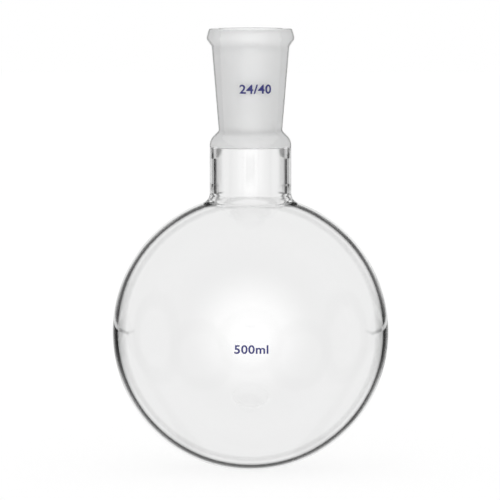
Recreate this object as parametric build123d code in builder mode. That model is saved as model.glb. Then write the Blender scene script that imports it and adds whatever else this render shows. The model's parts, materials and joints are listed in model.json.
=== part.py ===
# Round-bottom flask of borosilicate glass, blown in one piece: a round bulb, a straight neck and a
# tapered ground socket with a beaded rim, fused on top of it.
# The flask can't stand by itself: a clamp holds it upright by its neck. The origin is there, on the
# flask's axis and halfway up the neck, with +Z up towards the mouth.
# Sizes are in millimetres. A radius is measured from the axis, and a height from the bulb's lowest point.

import os
from math import sqrt

from build123d import *

# The bulb: a sphere with a wall of even thickness
bulb_outer_r = 52.5
bulb_wall = 1.8

# The neck: a straight tube that sweeps out into the bulb
neck_outer_r = 15.5
neck_wall = 2.3
neck_length = 23.2  # from the bulb to the slope of the shoulder, measured between corners
neck_round = 4.0  # where neck and bulb meet, inside and out

# The ground socket: 24 mm across at the mouth, tapered 1 in 10 and ground over 40 mm
socket_mouth_r = 12.0
socket_length = 40.0
socket_taper = 0.1  # of the diameter
socket_wall = 3.1  # just below the bead
socket_foot_wall = 2.05
mouth_round = 0.5

# The bead that strengthens the mouth
bead_height = 6.8
bead_swell = 2.1  # how far the bead stands out from the socket's wall
bead_waist = 3.0  # how high the widest point is above the bead's lower edge
bead_inset = 1.1  # how far the top edge lies inside the widest point
bead_round = 2.2
bead_foot_round = 0.5
rim_round = 0.7

# The shoulder, where the socket is fused to the neck
shoulder_slope = 1.0  # drop for each millimetre outwards
shoulder_overlap = 1.3  # how far the shoulder reaches up past the end of the ground zone
shoulder_round = 1.45  # radius over the neck's top corner, for each millimetre of the shoulder's width
shoulder_foot_round = 0.35  # the same in the corner above it, where the socket begins
relief_length = 1.6  # clear bore between the ground zone and the inner slope
relief_swell = 0.4
inner_slope = 1.15  # drop for each millimetre outwards, inside
inner_round = 0.57  # radius of its two corners, for each millimetre of its width

# Places that follow from the sizes, from the bulb upwards
bulb_z = bulb_outer_r
bulb_inner_r = bulb_outer_r - bulb_wall
neck_inner_r = neck_outer_r - neck_wall
neck_z = bulb_z + sqrt(bulb_outer_r**2 - neck_outer_r**2)
bore_z = bulb_z + sqrt(bulb_inner_r**2 - neck_inner_r**2)

socket_foot_r = socket_mouth_r - socket_taper * socket_length / 2
wall_foot_r = socket_foot_r + socket_foot_wall
neck_top_z = neck_z + neck_length
shoulder_width = neck_outer_r - wall_foot_r
shoulder_z = neck_top_z + shoulder_slope * shoulder_width
socket_foot_z = shoulder_z - shoulder_overlap
mouth_z = socket_foot_z + socket_length

bead_z = mouth_z - bead_height
bead_foot_r = socket_mouth_r - socket_taper * bead_height / 2 + socket_wall
bead_r = bead_foot_r + bead_swell
waist_z = bead_z + bead_waist
rim_r = bead_r - bead_inset

relief_r = socket_foot_r + relief_swell
relief_z = socket_foot_z - relief_length
inner_width = neck_inner_r - relief_r
inner_shoulder_z = relief_z - inner_slope * inner_width

# The section's plane holds the flask's axis, and lies as low as brings the origin to the clamp
clamp_z = neck_z + neck_length / 2
section_plane = Plane(origin=(0, 0, -clamp_z), x_dir=(1, 0, 0), z_dir=(0, -1, 0))


def corner(r, z):
    """The corner of the section that lies at this radius and height."""
    return section.vertices().sort_by_distance((r, z))[0]


with BuildPart() as flask:
    # One half of the section: up the outside, over the rim and down the inside
    with BuildSketch(section_plane) as section:
        with BuildLine():
            ThreePointArc((0, 0), (bulb_outer_r, bulb_z), (neck_outer_r, neck_z))
            Polyline(
                (neck_outer_r, neck_z),
                (neck_outer_r, neck_top_z),
                (wall_foot_r, shoulder_z),
                (bead_foot_r, bead_z),
                (bead_r, waist_z),
                (rim_r, mouth_z),
                (socket_mouth_r, mouth_z),
                (socket_foot_r, socket_foot_z),
                (relief_r, relief_z),
                (neck_inner_r, inner_shoulder_z),
                (neck_inner_r, bore_z),
            )
            ThreePointArc((neck_inner_r, bore_z), (bulb_inner_r, bulb_z), (0, bulb_wall))
            Line((0, bulb_wall), (0, 0))
        make_face()

        # Flame-worked glass has no sharp corner, apart from the edge where the grinding ends
        fillet([corner(neck_outer_r, neck_z), corner(neck_inner_r, bore_z)], neck_round)
        fillet(corner(neck_outer_r, neck_top_z), shoulder_round * shoulder_width)
        fillet(corner(wall_foot_r, shoulder_z), shoulder_foot_round * shoulder_width)
        inner_corners = [corner(relief_r, relief_z), corner(neck_inner_r, inner_shoulder_z)]
        fillet(inner_corners, inner_round * inner_width)
        fillet(corner(bead_foot_r, bead_z), bead_foot_round)
        fillet(corner(bead_r, waist_z), bead_round)
        fillet(corner(rim_r, mouth_z), rim_round)
        fillet(corner(socket_mouth_r, mouth_z), mouth_round)
    revolve(axis=Axis.Z)

flask.part.label = "flask"

os.makedirs("parts", exist_ok=True)
export_step(flask.part, "parts/flask.step")

print("overall height", round(mouth_z, 2), "mm, lowest point", round(-clamp_z, 2), "mm from the clamp")
print("volume of glass", round(flask.part.volume / 1000, 1), "cm3")
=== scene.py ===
# %% [markdown]
# # A round-bottom flask of borosilicate glass
#
# The flask is blown and flame-worked in one piece: a thin round bulb, a straight neck, and on top a
# thicker tapered socket that is ground inside, so that a stopper or a condenser sits tight in it.
# This lesson builds it as one turned surface, prints its two size marks on it in enamel, and lights
# it as glass is lit: with white behind it, and dark gaps beside it that draw its edges.
#
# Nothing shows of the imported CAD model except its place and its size. The glass needs a smoother
# surface than the CAD mesh gives, because every small flat would show as a kink in what is seen
# through it.

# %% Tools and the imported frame
import json

import bmesh
import bpy
import numpy as np
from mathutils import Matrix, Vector


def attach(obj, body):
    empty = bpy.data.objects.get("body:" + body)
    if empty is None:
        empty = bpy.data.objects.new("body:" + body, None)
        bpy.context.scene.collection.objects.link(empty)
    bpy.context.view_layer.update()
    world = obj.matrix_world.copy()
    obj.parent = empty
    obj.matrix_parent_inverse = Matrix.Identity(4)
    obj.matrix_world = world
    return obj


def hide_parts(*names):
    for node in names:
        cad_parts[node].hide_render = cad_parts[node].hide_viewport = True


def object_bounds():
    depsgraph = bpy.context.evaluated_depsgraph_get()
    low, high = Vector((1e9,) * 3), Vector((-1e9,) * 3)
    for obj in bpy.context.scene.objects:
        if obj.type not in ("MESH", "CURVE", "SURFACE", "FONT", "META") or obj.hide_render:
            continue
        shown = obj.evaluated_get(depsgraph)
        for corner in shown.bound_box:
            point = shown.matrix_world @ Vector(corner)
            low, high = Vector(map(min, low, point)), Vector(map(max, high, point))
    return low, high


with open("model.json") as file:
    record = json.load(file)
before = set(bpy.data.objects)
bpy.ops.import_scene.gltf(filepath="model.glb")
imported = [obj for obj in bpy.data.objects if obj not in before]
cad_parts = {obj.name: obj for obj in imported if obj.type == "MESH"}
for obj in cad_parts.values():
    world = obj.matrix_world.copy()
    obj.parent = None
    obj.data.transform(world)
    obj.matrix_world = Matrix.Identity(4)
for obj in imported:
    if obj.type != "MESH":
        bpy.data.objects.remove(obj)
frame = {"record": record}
cad_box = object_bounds()
print("CAD box, in metres:", [list(corner) for corner in cad_box])

# %% [markdown]
# ## Sizes
#
# All sizes here are in millimetres, and heights are counted from the bulb's lowest point, as a
# glassblower would measure them. The frame's origin is at the clamp on the neck, so a height turns
# into the frame's z when the clamp's height is taken off.

# %% Sizes of the bulb and the neck
bulb_radius = 52.5
bulb_wall = 1.8
neck_radius = 15.5
neck_wall = 2.3
neck_length = 23.2
neck_round = 4.0  # where the neck sweeps out into the bulb, inside and out

# %% Sizes of the ground socket and its bead
mouth_radius = 12.0  # of the ground bore
ground_length = 40.0
ground_taper = 0.05  # of the radius: 1 in 10 on the diameter
wall_at_mouth = 3.1
wall_at_foot = 2.05
mouth_round = 0.5

bead_height = 6.8
bead_swell = 2.1
bead_waist = 3.0
bead_inset = 1.1
bead_foot_round = 0.5
bead_round = 2.2
rim_round = 0.7

# %% Sizes of the shoulder, outside and inside
shoulder_reach = 1.3  # how far it reaches up past the end of the ground bore
shoulder_round = 1.45  # for each millimetre of the shoulder's width
shoulder_foot_round = 0.35  # the same, in the corner where the socket begins
relief_length = 1.6
relief_swell = 0.4
inner_slope = 1.15  # drop for each millimetre outwards
inner_round = 0.57  # for each millimetre of the inner slope's width

# %% Places that follow from the sizes
bulb_inside = bulb_radius - bulb_wall
neck_inside = neck_radius - neck_wall
neck_height = bulb_radius + np.sqrt(bulb_radius**2 - neck_radius**2)
clamp_height = neck_height + neck_length / 2

foot_radius = mouth_radius - ground_taper * ground_length
foot_outside = foot_radius + wall_at_foot
neck_top = neck_height + neck_length
shoulder_width = neck_radius - foot_outside
shoulder_top = neck_top + shoulder_width
foot_height = shoulder_top - shoulder_reach
mouth_height = foot_height + ground_length

bead_foot = mouth_height - bead_height
bead_foot_radius = mouth_radius - ground_taper * bead_height + wall_at_mouth
bead_radius = bead_foot_radius + bead_swell

relief_radius = foot_radius + relief_swell
relief_height = foot_height - relief_length
inner_width = neck_inside - relief_radius
inner_shoulder = relief_height - inner_slope * inner_width

mounts = {mount["name"]: mount for mount in frame["record"]["mounts"]}
recorded_height = -1000 * mounts["bulb_rest"]["pos_m"][2]
print("clamp", round(float(clamp_height), 2), "mm up; the record says", recorded_height)

# %% [markdown]
# ## The section
#
# Everything on the flask is round about one axis, so one curve says it all: the section through one
# wall, up the outside, over the rim and down the inside. Straight runs come from their corners, and
# each corner is an arc, because glass that was soft in the flame keeps no sharp edge. Where the neck
# sweeps out into the bulb, an arc touches the tube and the sphere.

# %% How many points each stretch gets
bulb_points_outside = 118
bulb_points_inside = 112
sweep_points = 16
corner_points = 12
straight_points = 3


# %% Arcs, rounded corners and straight runs
def arc(centre, radius, start, end, count):
    """Points of a circle: centre + radius * (cos t, sin t), with t from start to end in even steps."""
    t = np.linspace(start, end, count)
    return np.column_stack([centre[0] + radius * np.cos(t), centre[1] + radius * np.sin(t)])


def rounded(before, corner, after, radius):
    """The arc that rounds a corner: its centre lies on the corner's bisector, radius / sin(half angle)
    away, and its points turn from one tangent point to the other as (sin((1-s)f) a + sin(sf) b) / sin f."""
    before, corner, after = (np.array(p, float) for p in (before, corner, after))
    to_before = (before - corner) / np.linalg.norm(before - corner)
    to_after = (after - corner) / np.linalg.norm(after - corner)
    half = np.arccos(np.clip(to_before @ to_after, -1, 1)) / 2
    bisector = (to_before + to_after) / np.linalg.norm(to_before + to_after)
    centre = corner + bisector * radius / np.sin(half)
    reach = radius / np.tan(half)
    a = corner + to_before * reach - centre
    b = corner + to_after * reach - centre
    turn = np.pi - 2 * half
    s = np.linspace(0, 1, corner_points)[:, None]
    return centre + (np.sin((1 - s) * turn) * a + np.sin(s * turn) * b) / np.sin(turn)


def bulb_with_sweep(sphere, tube, count):
    """A sphere's section from its lowest point up to the tube. The sweep's circle touches both, so its
    centre lies (tube + round) from the axis and (sphere + round) from the bulb's centre."""
    out = tube + neck_round
    rise = np.sqrt((sphere + neck_round) ** 2 - out**2)
    end = np.arctan2(rise, out)
    ball = arc((0, bulb_radius), sphere, -np.pi / 2, end, count)
    sweep = arc((out, bulb_radius + rise), neck_round, end - np.pi, -np.pi, sweep_points)
    return np.vstack([ball, sweep[1:]])


def straight(start, end):
    """Points on a straight run: start + s (end - start), without its two ends."""
    s = np.linspace(0, 1, straight_points + 2)[1:-1, None]
    return np.array(start) + s * (np.array(end) - np.array(start))


# %% The whole section
corners = [
    (neck_radius, neck_height),
    (neck_radius, neck_top),
    (foot_outside, shoulder_top),
    (bead_foot_radius, bead_foot),
    (bead_radius, bead_foot + bead_waist),
    (bead_radius - bead_inset, mouth_height),
    (mouth_radius, mouth_height),
    (foot_radius, foot_height),
    (relief_radius, relief_height),
    (neck_inside, inner_shoulder),
    (neck_inside, neck_height),
]
corner_rounds = [
    shoulder_round * shoulder_width,
    shoulder_foot_round * shoulder_width,
    bead_foot_round,
    bead_round,
    rim_round,
    mouth_round,
    None,  # where the grinding ends, the edge stays sharp
    inner_round * inner_width,
    inner_round * inner_width,
]

inside_low = bulb_with_sweep(bulb_inside, neck_inside, bulb_points_inside)[::-1]
stretches = [bulb_with_sweep(bulb_radius, neck_radius, bulb_points_outside)]
for k, radius in enumerate(corner_rounds, start=1):
    if radius is None:
        bend = np.array([corners[k]])
    else:
        bend = rounded(corners[k - 1], corners[k], corners[k + 1], radius)
    stretches += [straight(stretches[-1][-1], bend[0]), bend]
stretches += [straight(stretches[-1][-1], inside_low[0]), inside_low]
section = np.vstack(stretches)
section[[0, -1], 0] = 0


def nearest_point(radius, height):
    """The number of the section's point with the least distance to a place."""
    return int(np.argmin(np.hypot(section[:, 0] - radius, section[:, 1] - height)))


ground_start = nearest_point(mouth_radius - mouth_round / 2, mouth_height)
ground_end = nearest_point(neck_inside, inner_shoulder)
print("section:", len(section), "points; ground from point", ground_start, "to", ground_end)

# %% [markdown]
# ## Turning the section
#
# The surface is a function of two parameters: a place along the section and an angle about the axis.
# numpy works out all the points at once, as a grid of rings. The two ends of the section lie on the
# axis, so each becomes one point with a fan of triangles round it, and the skin is closed. The faces
# follow the section in its own direction, so they point out of the glass on both of its sides.
#
# A separate inner wall, or a Solidify modifier, would do for a cup. Here the wall's thickness changes
# from place to place, and light bends at both of its faces, so both come from the drawn section.

# %% The turned surface
points_round = 256  # in each ring


def turned(profile, count):
    """Points of a turned surface: (r cos a, r sin a, z) for each point (r, z) of the profile and each of
    count even angles a, with one point alone at each end. Returns the points and the faces."""
    angle = np.arange(count) * 2 * np.pi / count
    radius, height = profile[1:-1, 0, None], profile[1:-1, 1, None]
    rings = np.stack(
        [radius * np.cos(angle), radius * np.sin(angle), height + 0 * angle], axis=-1
    ).reshape(-1, 3)
    ends = [[0, 0, profile[0, 1]], [0, 0, profile[-1, 1]]]
    points = np.vstack([rings, ends])

    j = np.arange(count)
    after = (j + 1) % count
    first = (np.arange(len(profile) - 3) * count)[:, None]
    quads = np.stack([first + j, first + after, first + after + count, first + j + count], axis=-1)
    last = (len(profile) - 3) * count
    low_fan = np.column_stack([np.full(count, len(rings)), after, j])
    high_fan = np.column_stack([np.full(count, len(rings) + 1), last + j, last + after])
    return points, quads.reshape(-1, 4), low_fan, high_fan


def to_frame(points):
    """Millimetres above the bulb's lowest point to metres in the frame."""
    return (points - [0, 0, clamp_height]) / 1000


# %% The flask's mesh
points, quads, low_fan, high_fan = turned(section, points_round)
mesh = bpy.data.meshes.new("flask_glass")
mesh.from_pydata(to_frame(points), [], quads.tolist() + low_fan.tolist() + high_fan.tolist())
mesh.polygons.foreach_set("use_smooth", np.ones(len(mesh.polygons), bool))

# The rings from the mouth down to the foot of the inner slope take the second material
ring_of_quad = np.repeat(np.arange(len(section) - 3), points_round) + 1
is_ground = (ring_of_quad >= ground_start) & (ring_of_quad < ground_end)
material_index = np.zeros(len(mesh.polygons), np.int32)
material_index[: len(is_ground)] = is_ground
mesh.polygons.foreach_set("material_index", material_index)
mesh.update()

flask = bpy.data.objects.new("flask_glass", mesh)
bpy.context.collection.objects.link(flask)
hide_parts("flask")
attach(flask, "root")
print("flask_glass:", len(mesh.vertices), "points,", 2 * len(quads) + 2 * points_round, "triangles")

# %% [markdown]
# ## The enamel marks
#
# The capacity stands on the bulb and the joint's size on the socket. On the real flask they are
# screen-printed in blue enamel and fired on, so they stand a few hundredths of a millimetre proud.
# Each mark is set in Blender's own font, made a flat mesh, cut into narrow strips that can bend, and
# then laid round the glass: a step sideways turns into an angle, and a step up follows the wall.

# %% Sizes of the print
print_depth = 0.03  # how far the enamel is sunk into the glass
print_height = 0.05  # how far it stands out
letter_boldness = 0.02  # of the letters' size
letter_spacing = 1.06
letter_curve_steps = 6
strips_across = 29
strips_up = 7
weld_distance = 1e-5  # of the text's own size

outside = section[: int(np.argmax(section[:, 1])) + 1]


# %% Text that follows the glass
def glass_radius(height):
    """The outer radius at a height, read from the section's outer line."""
    return np.interp(height, outside[:, 1], outside[:, 0])


def flat_text(text):
    """The text as a flat mesh, centred, one unit wide and one unit high."""
    curve = bpy.data.curves.new("letters", "FONT")
    curve.body = text
    curve.offset = letter_boldness
    curve.resolution_u = letter_curve_steps
    curve.space_character = letter_spacing
    lettering = bpy.data.objects.new("letters", curve)
    bpy.context.collection.objects.link(lettering)
    bpy.context.view_layer.update()
    flat = bpy.data.meshes.new_from_object(lettering)
    bpy.data.objects.remove(lettering)
    bpy.data.curves.remove(curve)

    place = np.empty(3 * len(flat.vertices))
    flat.vertices.foreach_get("co", place)
    place = place.reshape(-1, 3)
    low, high = place.min(axis=0), place.max(axis=0)
    place = (place - (low + high) / 2) / np.where(high > low, high - low, 1)
    flat.vertices.foreach_set("co", place.ravel())
    return flat


def in_strips(flat):
    """The same mesh, cut across and along into even strips, each narrow enough to look bent."""
    strips = bmesh.new()
    strips.from_mesh(flat)
    for axis, count in ((0, strips_across), (1, strips_up)):
        along = np.eye(3)[axis]
        for step in np.linspace(-0.5, 0.5, count + 1)[1:-1]:
            whole = list(strips.verts) + list(strips.edges) + list(strips.faces)
            bmesh.ops.bisect_plane(strips, geom=whole, plane_co=step * along, plane_no=along)
    bmesh.ops.remove_doubles(strips, verts=strips.verts, dist=weld_distance)
    return strips


def printed(name, text, width, height, right, up):
    """A mark on the side that faces -Y. A point (u, v) of the flat text goes to the angle u / r about
    the axis and to the height up + v, at the glass's radius r there, less or plus the enamel's skin."""
    flat = flat_text(text)
    strips = in_strips(flat)
    top = bmesh.ops.extrude_face_region(strips, geom=list(strips.faces))["geom"]
    raised = {v for v in top if isinstance(v, bmesh.types.BMVert)}
    lift = np.array([v in raised for v in strips.verts])
    place = np.array([v.co for v in strips.verts])

    z = up + place[:, 1] * height
    r = glass_radius(z)
    angle = (right + place[:, 0] * width) / r
    skin = r + np.where(lift, print_height, -print_depth)
    bent = np.column_stack([skin * np.sin(angle), -skin * np.cos(angle), z])
    for vertex, co in zip(strips.verts, to_frame(bent)):
        vertex.co = co
    bmesh.ops.recalc_face_normals(strips, faces=strips.faces)
    strips.to_mesh(flat)
    strips.free()

    flat.name = name
    mark = bpy.data.objects.new(name, flat)
    bpy.context.collection.objects.link(mark)
    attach(mark, "root")
    print(name + ":", len(flat.polygons), "faces,", width, "mm wide")
    return mark


# %% The two marks
capacity_mark = printed("capacity_mark", "500ml", width=12.7, height=3.3, right=0.3, up=50.4)
joint_mark = printed("joint_mark", "24/40", width=12.5, height=3.5, right=2.0, up=145.5)

# %% [markdown]
# ## Materials
#
# Three finishes, each named for what it is: the clear glass, the same glass where it was ground with
# grit, and the fired enamel. Colours are written as the sRGB values that one reads off a screen, and
# one function turns them into the linear light that the renderer counts in.


# %% Colours and nodes
def linear(hex_colour):
    """An sRGB hex colour as linear RGBA: c / 12.92 below 0.04045, else ((c + 0.055) / 1.055) ** 2.4."""
    c = np.array([int(hex_colour[k : k + 2], 16) for k in (1, 3, 5)]) / 255
    return (*np.where(c < 0.04045, c / 12.92, ((c + 0.055) / 1.055) ** 2.4).tolist(), 1.0)


def node(tree, kind, inputs=None, **settings):
    """Adds a node, sets its properties, and fills its inputs: a socket is linked, a value is set."""
    made = tree.nodes.new(kind)
    for name, value in settings.items():
        setattr(made, name, value)
    for name, value in (inputs or {}).items():
        if isinstance(value, bpy.types.NodeSocket):
            tree.links.new(value, made.inputs[name])
        else:
            made.inputs[name].default_value = value
    return made


def material(name):
    """An empty node material and its tree."""
    made = bpy.data.materials.new(name)
    made.use_nodes = True
    made.node_tree.nodes.clear()
    return made, made.node_tree


white = linear("#ffffff")
glass_tint = linear("#d8dcdb")  # what a long way through the wall leaves of white light
glass_index = 1.474

# %% [markdown]
# ### Clear borosilicate glass
#
# Blown glass has a fire-polished skin: no grain at all, and only a slow waviness from the flame,
# which bends the lines seen through it a little. Its refractive index is 1.474. A long way through
# the wall, as at the bulb's edge, takes more light than the short way through its middle.

# %% Clear glass
wave_length = 22.2  # mm
clear_glass, tree = material("borosilicate_glass_fire_polished")
place = node(tree, "ShaderNodeTexCoord").outputs["Object"]
wave = node(tree, "ShaderNodeTexNoise", {"Vector": place, "Scale": 1000 / wave_length, "Detail": 1.0})
wavy = node(tree, "ShaderNodeBump", {"Height": wave.outputs["Fac"], "Strength": 0.05, "Distance": 0.001})
surface = node(
    tree,
    "ShaderNodeBsdfPrincipled",
    {
        "Base Color": white,
        "Roughness": 0.0,
        "IOR": glass_index,
        "Transmission Weight": 1.0,
        "Normal": wavy.outputs["Normal"],
    },
)
inside = node(tree, "ShaderNodeVolumeAbsorption", {"Color": glass_tint, "Density": 8.0})
shown = {"Surface": surface.outputs["BSDF"], "Volume": inside.outputs["Volume"]}
node(tree, "ShaderNodeOutputMaterial", shown)
flask.data.materials.append(clear_glass)
print(clear_glass.name + ":", len(tree.nodes), "nodes")

# %% [markdown]
# ### Ground glass
#
# The socket is ground with a fine abrasive on a turning tool. Millions of small pits scatter the
# light, so the zone looks like thin white paper. Its grain is drawn about ten times coarser than the
# real grit, so that a trace of it shows. The photo shows the glass frosted a little further down than
# the 40 mm of the ground bore, to the foot of the inner slope, and so it is here.

# %% Ground glass
pit_spacing = 0.556  # mm
ground_glass, tree = material("borosilicate_glass_ground")
place = node(tree, "ShaderNodeTexCoord").outputs["Object"]
grit = node(tree, "ShaderNodeTexNoise", {"Vector": place, "Scale": 1000 / pit_spacing, "Detail": 2.0})
rough = node(
    tree,
    "ShaderNodeMapRange",
    {"Value": grit.outputs["Fac"], "From Min": 0.3, "From Max": 0.7, "To Min": 0.5, "To Max": 0.6},
)
pits = node(tree, "ShaderNodeBump", {"Height": grit.outputs["Fac"], "Strength": 0.25, "Distance": 0.0001})
surface = node(
    tree,
    "ShaderNodeBsdfPrincipled",
    {
        "Base Color": white,
        "Roughness": rough.outputs["Result"],
        "IOR": glass_index,
        "Transmission Weight": 0.15,
        "Normal": pits.outputs["Normal"],
    },
)
inside = node(tree, "ShaderNodeVolumeAbsorption", {"Color": glass_tint, "Density": 4.0})
shown = {"Surface": surface.outputs["BSDF"], "Volume": inside.outputs["Volume"]}
node(tree, "ShaderNodeOutputMaterial", shown)
flask.data.materials.append(ground_glass)
print(ground_glass.name + ":", len(tree.nodes), "nodes")

# %% [markdown]
# ### Blue enamel
#
# The ink is powdered glass and pigment, melted on at about 600 degrees: dense, a little uneven in
# tone, and smooth enough to catch a soft light.

# %% Enamel
speck_spacing = 0.4  # mm
enamel, tree = material("fired_blue_enamel")
place = node(tree, "ShaderNodeTexCoord").outputs["Object"]
mottle = node(tree, "ShaderNodeTexNoise", {"Vector": place, "Scale": 1000 / speck_spacing, "Detail": 2.0})
shade = node(
    tree,
    "ShaderNodeMix",
    {"Factor": mottle.outputs["Fac"], "A": linear("#0c0f58"), "B": linear("#13166a")},
    data_type="RGBA",
)
surface = node(
    tree,
    "ShaderNodeBsdfPrincipled",
    {"Base Color": shade.outputs[2], "Roughness": 0.35, "IOR": 1.5},
)
node(tree, "ShaderNodeOutputMaterial", {"Surface": surface.outputs["BSDF"]})
for mark in (capacity_mark, joint_mark):
    mark.data.materials.append(enamel)
print(enamel.name + ":", len(tree.nodes), "nodes")

# %% [markdown]
# ## Camera
#
# The flask is seen from a long way off, a little from above: the mouth's ellipse is almost flat, and
# the foot of the neck opens a little more. A long lens at 2.1 m gives both.

# %% Camera
camera_distance = 2.1
camera_rise = np.radians(4.0)
view_width = 0.1902  # metres across the picture, at the flask
sensor_width = 36.0
aim_height = 83.8  # millimetres above the bulb's lowest point
aim = Vector((-0.0002, 0, (aim_height - clamp_height) / 1000))

camera_data = bpy.data.cameras.new("camera")
camera_data.sensor_width = sensor_width
camera_data.lens = sensor_width * camera_distance / view_width
camera = bpy.data.objects.new("camera", camera_data)
bpy.context.collection.objects.link(camera)
camera.location = aim + Vector((0, -np.cos(camera_rise), np.sin(camera_rise))) * camera_distance
camera.rotation_euler = (np.pi / 2 - camera_rise, 0, 0)
bpy.context.scene.camera = camera
print("camera: a lens of", round(float(camera_data.lens)), "mm")

# %% [markdown]
# ## Floor
#
# The floor is plain and pale. To the camera it is white where nothing shades it, partly by its own
# light, and the flask's faint shadow stays on it. The glass doesn't mirror it: what is seen in and
# through the glass comes from the light round it, below.

# %% Floor
floor_reach = 4.0  # metres from the middle to each side
floor_grey = 0.15  # what it gives back of the light on it
floor_glow = 0.87  # its own light, where 1 is white
floor_height = cad_box[0][2]

floor_mesh = bpy.data.meshes.new("floor")
floor_mesh.from_pydata(
    [(x * floor_reach, y * floor_reach, floor_height) for x, y in ((-1, -1), (1, -1), (1, 1), (-1, 1))],
    [],
    [(0, 1, 2, 3)],
)
floor = bpy.data.objects.new("floor", floor_mesh)
bpy.context.collection.objects.link(floor)
floor.visible_glossy = False
floor.visible_transmission = False

paper, tree = material("white_paper_floor")
lit = node(tree, "ShaderNodeBsdfDiffuse", {"Color": (floor_grey, floor_grey, floor_grey, 1)})
glow = node(tree, "ShaderNodeEmission", {"Color": white, "Strength": floor_glow})
both = node(tree, "ShaderNodeAddShader", {0: lit.outputs[0], 1: glow.outputs[0]})
node(tree, "ShaderNodeOutputMaterial", {"Surface": both.outputs[0]})
floor_mesh.materials.append(paper)
print("floor: at", round(1000 * floor_height, 1), "mm")

# %% [markdown]
# ## Light
#
# Clear glass shows nothing of itself, only what is behind it and beside it. A photographer puts a
# white field straight behind it and leaves dark gaps just beside the field: near its edges the glass
# bends the view by about 20 to 30 degrees, into the dark, and that draws the outline. Here the world
# does this. A ray that comes straight from the camera finds it plain white. A ray that has met the
# glass finds a brightness that depends on its direction, which the next cells build up part by part.
#
# Each part is a function of an angle: how far the ray points away from some direction, how far round
# the flask it has turned, or how steeply it rises. One small function makes each step of arithmetic.

# %% The world, and the ray that meets it
world = bpy.data.worlds.new("studio")
bpy.context.scene.world = world
world.use_nodes = True
tree = world.node_tree
tree.nodes.clear()

direction = node(tree, "ShaderNodeTexCoord").outputs["Generated"]
paths = node(tree, "ShaderNodeLightPath")


# %% Arithmetic with light and angles
def worked_out(operation, *values):
    """The result of one sum, product, comparison or angle in the world's tree."""
    return node(tree, "ShaderNodeMath", dict(enumerate(values)), operation=operation).outputs[0]


def step_down(value, start, end):
    """1 where value is at start, 0 where it is at end, and a smooth step between."""
    limits = {"Value": value, "From Min": start, "From Max": end, "To Min": 1.0, "To Max": 0.0}
    return node(tree, "ShaderNodeMapRange", limits, interpolation_type="SMOOTHSTEP").outputs["Result"]


def step_up(value, start, end):
    """0 where value is at start, 1 where it is at end, and a smooth step between."""
    return worked_out("SUBTRACT", 1.0, step_down(value, start, end))


def band(value, low, high, soft):
    """1 between low and high, 0 outside them, with steps that are soft wide."""
    return worked_out("MULTIPLY", step_down(value, high, high + soft), step_up(value, low - soft, low))


def darkened(light, by, share):
    """light * (1 - share * by)."""
    return worked_out("MULTIPLY", light, worked_out("SUBTRACT", 1.0, worked_out("MULTIPLY", by, share)))


def blend(share, one, other):
    """one * (1 - share) + other * share."""
    values = {"Factor": share, "A": one, "B": other}
    return node(tree, "ShaderNodeMix", values, data_type="FLOAT").outputs[0]


def angle_from(azimuth, elevation):
    """Degrees between the ray and a direction: the arc cosine of their dot product. Azimuth 0 is behind
    the flask, along +Y, and 90 along -X."""
    a, e = np.radians(azimuth), np.radians(elevation)
    towards = (-np.sin(a) * np.cos(e), np.cos(a) * np.cos(e), np.sin(e))
    dot = node(tree, "ShaderNodeVectorMath", {0: direction, 1: towards}, operation="DOT_PRODUCT")
    return worked_out("DEGREES", worked_out("ARCCOSINE", dot.outputs["Value"]))


# %% How far round and how steeply the ray points
axes = node(tree, "ShaderNodeSeparateXYZ", {0: direction})
sideways = worked_out("ABSOLUTE", axes.outputs["X"])
turn = worked_out("DEGREES", worked_out("ARCTAN2", sideways, axes.outputs["Y"]))
rise = worked_out("DEGREES", worked_out("ARCSINE", axes.outputs["Z"]))

# %% [markdown]
# ### The room
#
# The room is a little less than white all round. A broad soft light hangs at the camera's side, which
# lights the frosted socket from the front.
#
# The neck is upright, so it turns rays sideways and never up or down. All rays that pass it leave at
# nearly the slope at which they came from the camera. A narrow slot in the pattern holds just that
# slope, so that the neck's bands can be set apart from the bulb's. The first use of it is the dark
# strip that the neck mirrors, where the light is seen past the camera.

# %% The room, the front light and the slot
room_level = 0.86
front_level = 1.55  # added to the room's, in the middle of the front light
front_reach = 62.0  # degrees to where it ends
slot = band(rise, -3.6, -2.75, 0.15)

mirrored_strip = worked_out("MULTIPLY", slot, step_up(turn, 163.0, 168.0))
front = darkened(step_down(angle_from(180, 4), 0.0, front_reach), mirrored_strip, 0.6)
level = worked_out("ADD", worked_out("MULTIPLY", front, front_level), room_level)

# %% [markdown]
# ### The other sides
#
# The flask is also looked at from other sides. For each of seven directions there is a window at the
# room's level straight behind the flask, and a gap round it.
#
# In the view from the front these gaps would show as rings in the bulb, which mirrors them, and would
# darken the frosted socket, which gathers light from everywhere. Scattered rays and mirrored rays
# leave them out, therefore. A ray that was turned round once inside one wall, as at the outline, has
# crossed the skin twice, and it sees them at half their strength.

# %% Which rays leave the other sides out
skin_crossings = paths.outputs["Transmission Depth"]
in_one_wall = worked_out("COMPARE", skin_crossings, 2.0, 0.5)
mirrored = worked_out("MINIMUM", paths.outputs["Glossy Depth"], 1.0)
scattered = worked_out("MINIMUM", paths.outputs["Diffuse Depth"], 1.0)
left_out = worked_out("MAXIMUM", darkened(mirrored, in_one_wall, 0.5), scattered)

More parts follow.
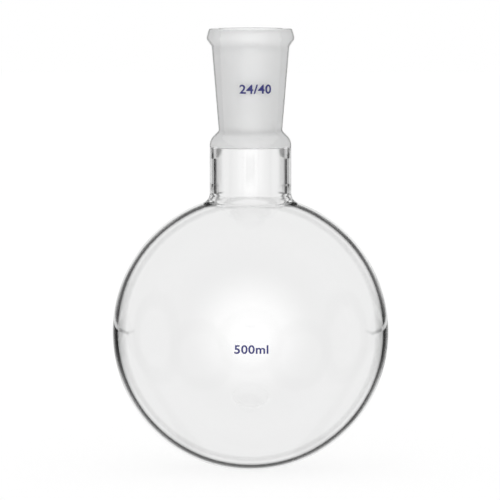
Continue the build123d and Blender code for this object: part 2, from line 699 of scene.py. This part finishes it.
# %% Windows and gaps for the other sides
share_from_above = 0.6
share_from_level = 0.9
sides = (
    (45, -25, share_from_above),
    (315, -25, share_from_above),
    (90, -3, share_from_level),
    (270, -3, share_from_level),
    (180, -3, share_from_level),
    (135, -15, share_from_level),
    (225, -15, share_from_level),
)
for azimuth, elevation, share in sides:
    away = angle_from(azimuth, elevation)
    window = darkened(step_down(away, 15.0, 20.0), left_out, 1.0)
    level = blend(window, level, room_level)
    level = darkened(level, darkened(band(away, 19.5, 27.0, 3.0), left_out, 1.0), share)
print("gaps for", len(sides), "other sides")

# %% [markdown]
# ### The side that the photo shows
#
# Straight behind the flask is the bright field, and round it the dark gap that draws the bulb's
# outline. In the slot the gap stands further out, where it draws a thin dark line beside the neck.
# Two soft wings at the bulb's middle height take a little light off the left and right of the bulb,
# as the photo has it.

# %% Field, gap and wings
field_level = 0.83
gap_share = 0.88
wing_share = 0.8
slot_share = 0.8  # how much of the wings the slot leaves out
slot_gap_share = 0.75  # how much of the round gap it leaves out

behind = angle_from(0, -4.6)
field = step_down(behind, 16.0, 19.5)
level = worked_out("MAXIMUM", level, worked_out("MULTIPLY", field, field_level))

round_gap = worked_out("MULTIPLY", band(behind, 19.5, 32.0, 3.0), gap_share)
neck_gap = worked_out("MULTIPLY", slot, band(turn, 38.0, 56.0, 2.0))
gap = worked_out("MAXIMUM", darkened(round_gap, slot, slot_gap_share), neck_gap)
level = darkened(level, gap, 1.0)

off_middle = worked_out("ABSOLUTE", worked_out("ADD", rise, 4.8))
wings = worked_out("MULTIPLY", band(turn, 14.0, 30.0, 6.5), step_down(off_middle, 1.0, 8.0))
level = darkened(level, darkened(wings, slot, slot_share), wing_share)

# %% The world's output
strength = blend(paths.outputs["Is Camera Ray"], level, 1.0)
background = node(tree, "ShaderNodeBackground", {"Color": white, "Strength": strength})
node(tree, "ShaderNodeOutputWorld", {"Surface": background.outputs[0]})
print("world:", len(tree.nodes), "nodes")

# %% [markdown]
# ## How the scene is shown
#
# A ray through the bulb crosses four faces, and many more where it is turned round inside the wall.
# It is followed for 24 steps, so that no edge goes black because a ray was given up.

# %% View and bounces
bpy.context.scene.view_settings.view_transform = "Standard"
bpy.context.scene.cycles.max_bounces = 24
bpy.context.scene.cycles.transmission_bounces = 24
bpy.context.scene.cycles.glossy_bounces = 12
